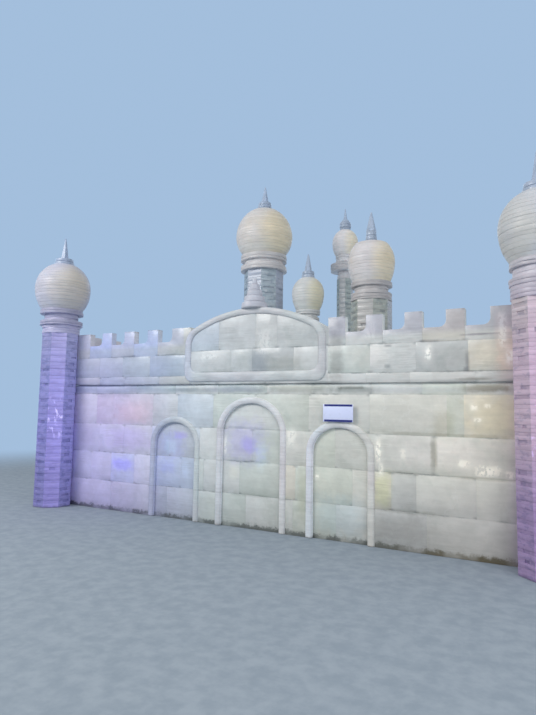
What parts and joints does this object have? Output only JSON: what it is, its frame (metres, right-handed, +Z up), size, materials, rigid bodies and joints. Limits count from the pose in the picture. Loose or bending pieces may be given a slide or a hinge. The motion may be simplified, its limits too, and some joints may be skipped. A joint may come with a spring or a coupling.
{
  "type": "ice castle",
  "caption": "Ice castle with a battlemented block wall, blind arches, a round-topped pediment and a snow deck with octagonal towers under bulb domes and spires.",
  "frame": {"origin": "on the ground, under the middle of the front wall (half way along it and half way through it)", "axes": "+X along the front wall, to the right as one faces it; +Y to the back; +Z up"},
  "size_m": [9.089, 5.368, 6.44],
  "materials": {
    "ice_block": "cloudy sawn ice blocks with pale joints, opaque",
    "carved_ice": "frosted carved ice, opaque",
    "tower_ice": "layered bluish ice, smooth on the flat faces, opaque",
    "dome_ice": "frosted white ice in thin courses, opaque",
    "clear_ice": "clear ice",
    "packed_snow": "trodden compacted snow, matte",
    "notice_plate": "smooth white sheet"
  },
  "bodies": {
    "root": {"front_wall": "ice_block", "left_wall": "ice_block", "right_wall": "ice_block", "back_wall": "ice_block", "deck_fill": "packed_snow", "front_slab_course": "ice_block", "front_parapet_left": "ice_block", "front_parapet_right": "ice_block", "side_parapet_left": "ice_block", "side_parapet_right": "ice_block", "back_parapet": "ice_block", "pediment_panel": "ice_block", "pediment_frame": "carved_ice", "pediment_pinnacle": "carved_ice", "arch_moulding_left": "carved_ice", "arch_moulding_middle": "carved_ice", "arch_moulding_right": "carved_ice", "notice_plate": "notice_plate", "corner_left_shaft": "tower_ice", "corner_left_collar": "tower_ice", "corner_left_dome": "dome_ice", "corner_left_spire": "clear_ice", "corner_right_shaft": "tower_ice", "corner_right_collar": "tower_ice", "corner_right_dome": "dome_ice", "corner_right_spire": "clear_ice", "rear_left_shaft": "tower_ice", "rear_left_collar": "tower_ice", "rear_left_dome": "dome_ice", "rear_left_spire": "clear_ice", "rear_right_shaft": "tower_ice", "rear_right_collar": "tower_ice", "rear_right_dome": "dome_ice", "rear_right_spire": "clear_ice", "middle_turret_shaft": "tower_ice", "middle_turret_collar": "tower_ice", "middle_turret_dome": "dome_ice", "middle_turret_spire": "clear_ice", "back_turret_shaft": "tower_ice", "back_turret_collar": "tower_ice", "back_turret_dome": "dome_ice", "back_turret_spire": "clear_ice"}
  },
  "joints": []
}
